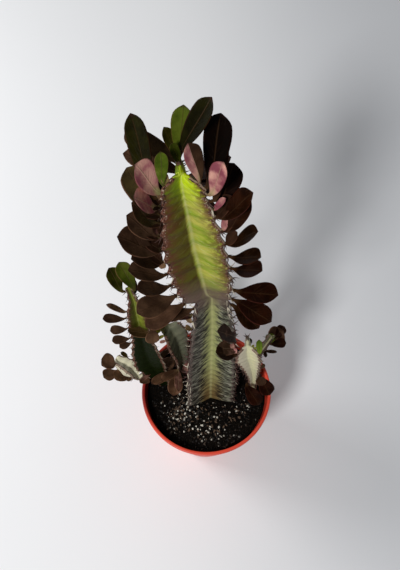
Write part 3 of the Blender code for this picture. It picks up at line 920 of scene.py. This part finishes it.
# %% Table of young leaves
YOUNG_LEAVES = {
    # wing's heading, height, heading, lift, length, width, green, pink and, for a few, roll
    "shoot_left_tall": [
        (-30, 205, -171, 32, 22, 11, 0.35, 0.1), (210, 244, 175, 37, 19, 5, 0.3, 0.3),
        (90, 253, 105, 51, 15, 6.5, 0.15, 0), (90, 115, -123, 19, 29, 6.5, 0, 0.35),
        (-30, 130, -134, 20, 20, 7, 0.1, 0.1), (-30, 120, -147, 20, 18, 8, 0, 0.1),
        (210, 116, -135, 29, 11, 8, 0.1, 0.15), (210, 116, -107, 27, 8, 7, 0, 0.1),
    ],
    "shoot_left_low": [
        (-90, 140, 177, 39, 15, 14, 0, 0.1), (-156, 122, -170, 33, 18, 11, 0, 0.1),
        (150, 120, -98, 20, 6, 6, 0, 0.15), (30, 133, 161, 49, 9, 4, 0.55, 0),
    ],
    "shoot_left_near": [
        (140, 141, -143, 22, 18, 5.5, 0.15, 0.15), (140, 123, -129, 20, 19, 12, 0.15, 0.15),
        (-100, 123, -101, 9, 25, 13, 0, 0.15), (20, 123, -101, 7, 15, 8, 0, 0.5),
        (-100, 133, -137, 19, 21, 8, 0, 0.15), (-100, 133, -87, 14, 24, 7, 0, 0.35),
        (140, 177, -169, 37, 11, 3, 2, 0.1), (140, 177, -137, 25, 10, 3, 2, 0.2),
        (140, 168, -142, 26, 8, 3, 2, 0.4), (140, 185, 142, 61, 7, 3, 1.6, 0),
        (-100, 198, -143, 27, 7, 3, 1.2, 0.7), (140, 177, 81, 59, 12, 3.5, 1.6, 0),
        (140, 177, 175, 43, 14, 3, 2, 0),
    ],
    "shoot_right": [
        (-150, 215, 120, 53, 14, 4, 0.3, 0.5), (90, 188, 94, 55, 8, 5, 0.2, 0),
        (-30, 217, 90, 39, 12, 5, 1, 0), (90, 168, 43, 54, 10, 2.5, 2, 0),
        (90, 178, 37, 53, 7, 2.5, 2, 0), (-150, 215, 101, 58, 8, 3, 0.6, 0.9),
        (-150, 215, 141, 51, 7, 3, 0.6, 0.9), (-30, 178, -5, 40, 5, 4, 0.15, 0.1),
        (-30, 138, -74, 27, 12, 9, 0, 0.05),
    ],
    "shoot_right_far": [
        (27, 133, 33, 47, 20.5, 18, 0, 0), (27, 133, 84, 53, 12, 9, 1.2, 0),
        (30, 123, -15, 27, 13, 3.5, 0, 0), (30, 123, -81, 16, 7, 3.5, 0, 0),
    ],
    "main_stem": [
        (-144, 276, -167, 25, 20, 8, 0.1, 0.35), (-144, 266, 164, 51, 10, 5, 1.3, 0.5),
        (-144, 256, -168, 40, 7, 5, 1.2, 0.6), (-144, 362, -106, 16, 6, 5, 1.2, 0.6),
        (-24, 236, -158, 60, 31, 13, 0.05, 0.15, 28), (-24, 216, -160, 40, 22, 11, 0.1, 0.2, 28),
        (-24, 226, -151, 54, 7, 4, 0.3, 0.5), (96, 376, 188, 30, 36, 14, 0, 0),
        (96, 362, 184, 26, 36, 15, 0, 0), (96, 348, 188, 26, 37, 15, 0, 0.05),
        (96, 334, 186, 22, 37, 14, 0, 0), (96, 322, 184, 20, 36, 13, 0, 0),
        (96, 397, 10, 36, 31, 13, 0, 0), (96, 383, 10, 32, 33, 13, 0, 0),
        (96, 369, 12, 30, 32, 12, 0, 0), (-24, 411, 16, 48, 12, 5, 0, 0.85),
        (-24, 390, 53, 60, 14, 5, 0, 0.65), (96, 433, 127, 58, 14, 6, 0.7, 0),
        (96, 418, 139, 60, 6, 3.5, 1.5, 0), (-144, 433, 135, 56, 8, 5, 1.2, 0.5),
        (-144, 424, 145, 59, 6, 4, 1.2, 0.6), (-144, 418, -170, 34, 12, 9, 0, 0.1),
        (-144, 411, -167, 32, 13, 10, 0, 0.1), (-144, 404, -164, 28, 13, 10, 0, 0.15),
        (-144, 390, 174, 36, 14, 10, 0, 0.3), (-144, 376, 172, 41, 14, 10, 0, 0.1),
        (-144, 362, 162, 41, 14, 9, 0, 0.1), (-24, 404, 36, 53, 18, 9, 0, 0),
        (-24, 390, 36, 50, 16, 9, 0, 0), (-24, 376, 26, 47, 12, 8, 0, 0),
    ],
}

# %% Put young leaves on the wings
BRONZE_BELOW = 260 * MM


def at(line, measure, place):
    """A shoot's centre or arms at one place along it."""
    return along(line["places"], line[measure], [place])[0]


def heading_of(degrees, lift=0.0):
    """The direction that looks to a heading, lifted from the level."""
    turn, rise = math.radians(degrees), math.radians(lift)
    level = math.cos(rise)
    return np.array([math.cos(turn) * level, math.sin(turn) * level, math.sin(rise)])


def wing_foot(line, side, height, tooth_height):
    """The edge of the wing that faces a heading, on the tooth nearest to a height, and its arm."""
    stands = along(line["places"], line["centres"], line["teeth"])
    place = line["teeth"][int(np.abs(stands[:, 2] - height).argmin())]
    arm = unit(max(at(line, "arms", place), key=lambda arm: arm @ heading_of(side)))
    reach = np.interp(place, line["places"], line["radius"]) + tooth_height * 0.6
    return at(line, "centres", place) + arm * reach, arm


def add_young_leaf(into, line, tooth_height, side, height, heading, lift, length, width, green,
                   pink, roll=0):
    """Add a small leaf that leaves its wing square and bends to its heading and lift."""
    foot, arm = wing_foot(line, side, height * MM, tooth_height)
    chord = heading_of(heading, lift) * length * MM
    shares = np.linspace(0, 1, 6)[:, None]
    first, second, tip = foot + arm * 0.12 * length * MM, foot + chord * 0.55, foot + chord
    points = (foot * (1 - shares) ** 3 + 3 * first * shares * (1 - shares) ** 2
              + 3 * second * shares ** 2 * (1 - shares) + tip * shares ** 3)
    along_leaf = unit(np.gradient(points, axis=0))
    across = unit(np.cross((0.0, 0.0, 1.0), chord) + 1e-6)
    across = unit(across - along_leaf * (along_leaf @ across)[:, None])
    up = np.cross(along_leaf, across)
    turn, rise = math.cos(math.radians(roll)), math.sin(math.radians(roll))
    across, up = across * turn - up * rise, up * turn + across * rise
    # Low leaves are bronze, and those that reach left, towards the lamps, get more of it as painted
    # light.
    bronze_and_painted_light = 0.6 + 0.75 * ramp(-tip[0], 0, 30 * MM) if tip[2] < BRONZE_BELOW else 0.3
    tint = (green, pink, 0, bronze_and_painted_light)
    add_leaf(into, shares[:, 0], points, across, up, width / 2 * MM, tint, thickness=0.6 * MM)


for node, line in lines.items():
    sprays = bmesh.new()
    for row in YOUNG_LEAVES[node]:
        add_young_leaf(sprays, line, tooth_heights[node], *row)
    put(sprays, "young_leaves_" + node, leaf_material, "leaf_skin")
    print(node, "young leaves:", len(YOUNG_LEAVES[node]))

# %% [markdown]
# ## Thorns
#
# Thin curved thorns spread from every tooth, four on the main stem and two on a side shoot. More
# stand between the main stem's teeth at its pinch and its foot. Most are dark, and some there are
# cream. Each is a five-sided cone, because there are hundreds of them, and a shoot's thorns are
# copied into one mesh, which is lighter than an object for each.

# %% Thorn material
def thorn_skin():
    """Dark brown thorns; each one's own pale attribute turns it cream."""
    skin = Finish("thorn", Specular_IOR_Level=0.2)
    speck = skin.noise(skin.place(), 700.0, detail=2.0)
    dark = skin.mix(speck, (0.014, 0.006, 0.005), (0.11, 0.05, 0.04))
    cream = skin.mix(speck, (0.40, 0.33, 0.22), (0.80, 0.74, 0.60))
    return skin.finish(skin.mix(skin.attribute("pale"), dark, cream), 0.35 + speck * 0.2)


thorn_material = thorn_skin()

# %% Where the thorns stand
STEM_THORNS = 4.4 * MM, (-1.5, -0.6, 0.6, 1.5)
SHOOT_THORNS = 3.0 * MM, (-1, 1)
THORN_TOP = 430 * MM


def thorn_stands(line, length, tooth_height, spreads):
    """Where a shoot's thorns stand and how pale each is: thickest and palest at the pinch."""
    stands, teeth = [], line["teeth"]
    on_stem = spreads == STEM_THORNS[1]
    places = [(place, False) for place in teeth]
    places += [(place, True) for place in (teeth[1:] + teeth[:-1]) / 2]
    for place, between in places:
        centre = at(line, "centres", place)
        crowd = ramp(abs(centre[2] - pinch_height - 6 * MM), 48 * MM, 22 * MM) * on_stem
        foot = ramp(centre[2], soil_top + 75 * MM, soil_top + 25 * MM) * on_stem
        if not soil_top < centre[2] < THORN_TOP or (between and max(crowd, foot) < 0.3):
            continue
        forward = unit(at(line, "centres", place + MM) - centre)
        dip = 0.25 if between else -0.7
        radius = np.interp(place, line["places"], line["radius"]) - tooth_height * dip - 0.4 * MM
        arms = unit(at(line, "arms", place))
        for arm, spread in [(arm, spread) for arm in arms for spread in spreads]:
            sideways = np.cross(forward, arm) * spread
            splay = sideways * dice.uniform(0.6, 1.2)
            aim = Vector(arm + splay - forward * dice.uniform(-0.1, 0.8))
            stand = Matrix.Translation(centre + arm * radius + unit(sideways) * 0.5 * MM)
            twist = Matrix.Rotation(dice.uniform(0, 6), 4, "Z")
            turn = aim.to_track_quat("Z", "Y").to_matrix().to_4x4() @ twist
            cream = 0.06 + 0.35 * crowd + 0.6 * foot * (arm[0] < 0)
            pale = dice.uniform(0.6, 1.0) if dice.random() < cream else 0.0
            long = length * dice.uniform(0.7, 1.25) * (1 - 0.45 * foot)
            stands.append((stand @ turn @ Matrix.Scale(long, 4), pale))
    return stands


# %% Put the thorns on
def curved_thorn():
    """One thorn of unit length: a thin cone in rings that lean more towards its point."""
    thorn = bmesh.new()
    thorn.verts.layers.float.new("pale")
    bmesh.ops.create_cone(thorn, cap_ends=True, segments=5, radius1=0.12, radius2=0.02, depth=1.0,
                          matrix=Matrix.Translation((0, 0, 0.5)))
    cut_upright(thorn, 3)
    for point in thorn.verts:
        point.co.x += 0.38 * point.co.z ** 2
    return thorn


def thorns_on(node, line, length, tooth_height, spreads):
    """Put a shoot's thorns on it as one piece."""
    stands = thorn_stands(line, length, tooth_height, spreads)
    bm, thorns = copies(curved_thorn(), len(stands))
    pale_mark = bm.verts.layers.float["pale"]
    for points, (stand, pale) in zip(thorns, stands):
        for point in points:
            point.co = stand @ point.co
            point[pale_mark] = pale
    print(node, "thorns:", len(stands))
    put(bm, "thorns_" + node, thorn_material, "winged_stem")


for node, line in lines.items():
    length, spreads = STEM_THORNS if node == "main_stem" else SHOOT_THORNS
    thorns_on(node, line, length, tooth_heights[node], spreads)

# %% [markdown]
# ## Pot
#
# A thin moulded pot is round at every level, so a lathe suits it better than stretched cylinders:
# one outline holds the foot ring, the wall, the collar and the rolled rim, and is turned round the
# axis. Only the drain holes aren't round it, so they are cut through afterwards.

# %% Pot plastic
def pot_plastic():
    """Scuffed red plastic, with painted shade darkening it inside and out at its left."""
    plastic = Finish("red_plastic", Specular_IOR_Level=0.5)
    place = plastic.place()
    grain = plastic.noise(place, 1400.0, detail=2.0)
    cloud = plastic.noise(place, 35.0, detail=4.0)
    scuff_map = plastic.scaled(place, (40, 40, 260))
    scuff = plastic.smooth(plastic.noise(scuff_map, 1.0, detail=5.0), 0.62, 0.75)
    across, deep, _ = plastic.axes(place)
    # Painted shade darkens the pot's left side, inside and out.
    shaded = plastic.smooth(across, -0.030, -0.056) * plastic.smooth(deep, -0.045, -0.005)
    colour = plastic.layers(
        plastic.mix(cloud, (0.60, 0.045, 0.022), (0.74, 0.075, 0.036)),
        (scuff * 0.25, (0.80, 0.32, 0.24)),
        (shaded * 0.85, (0.16, 0.004, 0.004)),
    )
    rough = 0.36 + cloud * 0.12 + scuff * 0.2
    return plastic.finish(colour, rough, grain, depth=0.08 * MM, strength=0.6)


# %% Pot measures
POT_STEPS = 128
WALL = 1.3 * MM
BASE_RADIUS = 38 * MM
FLOOR_TOP = 4.2 * MM
COLLAR_HEIGHT = 17 * MM
RIM_ROLL = 0.9 * MM
_, pot_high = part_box("pot")
rim_radius, pot_height = pot_high.x, pot_high.z
collar_bottom = pot_height - COLLAR_HEIGHT
shoulder = rim_radius - 6.1 * MM
collar = shoulder + 2.6 * MM
print("pot rim radius and height in mm:", round(rim_radius / MM, 1), round(pot_height / MM, 1))


# %% Turn an outline
def arc(centre, radius, start, end, steps):
    """Points of an arc in the outline's plane, angles in degrees from +X."""
    turns = np.radians(np.linspace(start, end, steps + 1))
    return [(centre[0] + radius * math.cos(turn), centre[1] + radius * math.sin(turn))
            for turn in turns]


def turned(outline, steps):
    """Turn an outline of radius and height, which starts and ends on the axis, round Z."""
    bm = bmesh.new()
    points = [bm.verts.new((radius, 0, height)) for radius, height in outline]
    edges = [bm.edges.new(pair) for pair in zip(points, points[1:])]
    bmesh.ops.spin(bm, geom=points + edges, axis=(0, 0, 1), cent=(0, 0, 0), angle=math.tau,
                   steps=steps, use_merge=True)
    bmesh.ops.remove_doubles(bm, verts=bm.verts, dist=0.001 * MM)
    bmesh.ops.recalc_face_normals(bm, faces=bm.faces)
    return bm


# %% Pot wall
# The flat middle, the hollow round it and the foot ring, then the wall, the collar and the rim.
outline = [(0, 0), (18 * MM, 0), (20 * MM, 2 * MM), (BASE_RADIUS - 5.5 * MM, 2 * MM),
           (BASE_RADIUS - 3.5 * MM, 0)]
outline += arc((BASE_RADIUS - 0.8 * MM, 0.8 * MM), 0.8 * MM, -90, 0, 4)
outline += [(shoulder - 0.3 * MM, collar_bottom - 0.6 * MM), (shoulder, collar_bottom)]
outline += arc((collar - 0.5 * MM, collar_bottom + 1.2 * MM), 0.6 * MM, -80, 0, 4)
outline += [(rim_radius - 1.3 * MM, pot_height - 4 * MM)]
outline += arc((rim_radius - RIM_ROLL, pot_height - 3.0 * MM), RIM_ROLL, -80, 0, 3)
outline += arc((rim_radius - RIM_ROLL, pot_height - RIM_ROLL), RIM_ROLL, 0, 90, 5)
outline += arc((rim_radius - 2.1 * MM, pot_height - RIM_ROLL), RIM_ROLL, 90, 180, 5)
outline += [(collar - WALL, collar_bottom + 2.2 * MM), (shoulder - WALL, collar_bottom + 1.2 * MM),
            (BASE_RADIUS - WALL, FLOOR_TOP), (0, FLOOR_TOP)]
pot = put(turned(outline, POT_STEPS), "fine_pot", pot_plastic(), "red_plastic", sharp=35)


# %% Drain holes
def drill(made, holes, circle, radius, height):
    """Cut a ring of round holes down through an object's mesh, once and for good."""
    bm = bmesh.new()
    for index in range(holes):
        turn = Matrix.Rotation(math.tau * index / holes, 4, "Z")
        bmesh.ops.create_cone(bm, cap_ends=True, segments=24, radius1=radius, radius2=radius,
                              depth=height, matrix=turn @ Matrix.Translation((circle, 0, 0)))
    drill_mesh = bpy.data.meshes.new("drill")
    bm.to_mesh(drill_mesh)
    bm.free()
    drill_bits = bpy.data.objects.new("drill", drill_mesh)
    collection.link(drill_bits)
    cut = made.modifiers.new("holes", "BOOLEAN")
    cut.object = drill_bits
    cut.solver = "EXACT"
    evaluated = made.evaluated_get(bpy.context.evaluated_depsgraph_get())
    done = bpy.data.meshes.new_from_object(evaluated)
    made.modifiers.clear()
    made.data = done
    bpy.data.objects.remove(drill_bits)


drill(pot, holes=6, circle=28 * MM, radius=4.5 * MM, height=24 * MM)
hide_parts("pot")
print("pot faces:", len(pot.data.polygons))

# %% [markdown]
# ## Soil
#
# Near-black peat with clods and hollows, under a scatter of white perlite, brown bark and crumbs.
# The clods could be a bump only, but a low view shows the surface's edge, so its points really rise
# by two sizes of noise. The grains are real lumps too, because each one casts a shadow.

# %% Soil material
def soil_height(x, y):
    """Height of the soil's surface above its mean level."""
    spot = Vector((x, y, 0.3))
    clods = noise.noise(spot / (5 * MM)) * 0.9 + noise.noise(spot / (1.9 * MM)) * 0.5
    return clods * MM


def soil_peat():
    """Near-black fibres and lumps with a few pale specks."""
    peat = Finish("potting_mix", Specular_IOR_Level=0.05)
    place = peat.place()
    lumps = peat.cells(place, 520.0)
    fibres = peat.noise(peat.scaled(place, (900, 500, 700)), 1.0, detail=6.0, roughness=0.7)
    threads = peat.smooth(fibres, 0.4, 0.7)
    specks = peat.smooth(peat.noise(place, 1500.0, detail=2.0), 0.66, 0.72)
    colour = peat.mix(threads, (0.0012, 0.0010, 0.0008), (0.0080, 0.0052, 0.0032))
    colour = peat.mix(specks * 0.4, colour, (0.16, 0.13, 0.09))
    return peat.finish(colour, 0.9, lumps * 0.7 + fibres * 0.6, depth=0.9 * MM)


# %% Soil body
SOIL_STEPS = 120
SOIL_RINGS = 42
soil_low, soil_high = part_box("soil")
soil_level = soil_high.z - MM
soil_radius = soil_high.x
soil_outline = [(0, soil_low.z), (BASE_RADIUS - 1.8 * MM, soil_low.z),
                (soil_radius - 2.6 * MM, 89.5 * MM), (soil_radius, 90.5 * MM),
                (soil_radius, soil_level - 0.5 * MM)]
soil_outline += [(soil_radius * (1 - step / SOIL_RINGS), soil_level)
                 for step in range(SOIL_RINGS + 1)]
soil_mesh = turned(soil_outline, SOIL_STEPS)
for point in soil_mesh.verts:
    if point.co.z > soil_level - 0.1 * MM and point.co.xy.length < soil_radius - MM:
        point.co.z += soil_height(point.co.x, point.co.y)
soil = put(soil_mesh, "fine_soil", soil_peat(), "potting_mix")
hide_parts("soil")
print("soil level in mm:", round(soil_level / MM, 1), "faces:", len(soil.data.polygons))

# %% Grain material
def grain_material(name, dark, light, rough):
    """Pitted grains between two colours, darkened near the pot's wall by painted shade."""
    grain = Finish(name)
    place = grain.place()
    cloud = grain.noise(place, 600.0, detail=3.0)
    pits = grain.cells(place, 1800.0)
    across, deep, _ = grain.axes(place)
    # Painted shade darkens grains near the pot's wall.
    painted_wall_shade = grain.smooth((across * across + deep * deep) ** 0.5, 0.034, 0.052)
    colour = grain.mix(painted_wall_shade * 0.75, grain.mix(cloud, dark, light), (0.004, 0.003, 0.002))
    return grain.finish(colour, rough, pits, depth=0.2 * MM)


# %% Scatter grains on the soil
def near_stem(x, y):
    """The chance of a grain: most before the main stem and to its left, and few elsewhere."""
    left = math.exp(-((x + 21 * MM) ** 2 + (y + 16 * MM) ** 2) / (15 * MM) ** 2)
    front = math.exp(-((x - 4 * MM) ** 2 + (y + 33 * MM) ** 2) / (20 * MM) ** 2)
    right = math.exp(-((x - 34 * MM) ** 2 + (y + 12 * MM) ** 2) / (13 * MM) ** 2)
    return 0.04 + 0.96 * max(left, front * 0.45, right * 0.3)


def scatter(name, material, count, sizes, flatness, stray, seed):
    """Drop small lumps on the soil, near the stem and, by the stray chance, anywhere."""
    rolls = random.Random(seed)
    template = bmesh.new()
    bmesh.ops.create_icosphere(template, subdivisions=1, radius=0.5)
    bm, lumps = copies(template, count)
    for lump in lumps:
        x = y = soil_radius
        while math.hypot(x, y) > soil_radius - 2 * MM or rolls.random() > stray + near_stem(x, y):
            x, y = [rolls.uniform(-soil_radius, soil_radius) for _ in range(2)]
        size = rolls.uniform(*sizes) * MM
        depth, height = size * rolls.uniform(*flatness), size * rolls.uniform(*flatness)
        shape = Matrix.Diagonal((size, depth, height, 1.0))
        tilt = Matrix.Rotation(rolls.uniform(-0.7, 0.7), 4, "X")
        turn = Matrix.Rotation(rolls.uniform(0, math.tau), 4, "Z") @ tilt @ shape
        stand = Matrix.Translation((x, y, soil_level + soil_height(x, y) + size * 0.12)) @ turn
        for point in lump:
            point.co = stand @ (point.co * rolls.uniform(0.72, 1.1))
    put(bm, name, material, "potting_mix", sharp=30)
    print(name, "lumps:", count)


# %% Kinds of grain
# Name, material's name, dark and light colour, roughness;
# count, sizes in millimetres, flatness, stray chance and seed.
GRAINS = [
    ("perlite", "perlite", (0.30, 0.27, 0.20), (0.75, 0.72, 0.64), 0.8,
     120, (0.9, 3.0), (0.55, 1.0), 0.0, 3),
    ("bark_chips", "bark", (0.03, 0.018, 0.01), (0.13, 0.075, 0.04), 0.85,
     240, (1.2, 4.2), (0.25, 0.6), 0.0, 4),
    ("peat_crumbs", "crumbs", (0.003, 0.0025, 0.002), (0.016, 0.011, 0.008), 0.95,
     520, (0.8, 2.6), (0.6, 1.0), 0.1, 5),
]
for name, skin_name, dark, light, rough, *spread in GRAINS:
    scatter(name, grain_material(skin_name, dark, light, rough), *spread)

# %% [markdown]
# ## Size
#
# The CAD model's box and the fine plant's box are both printed. The fine plant must
# stay inside the CAD model's box.

# %% Print the boxes and finish
fine_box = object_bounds()
for label, (low, high) in (("CAD", cad_box), ("fine", fine_box)):
    print(label, [round(value / MM, 1) for value in (*low, *high)])
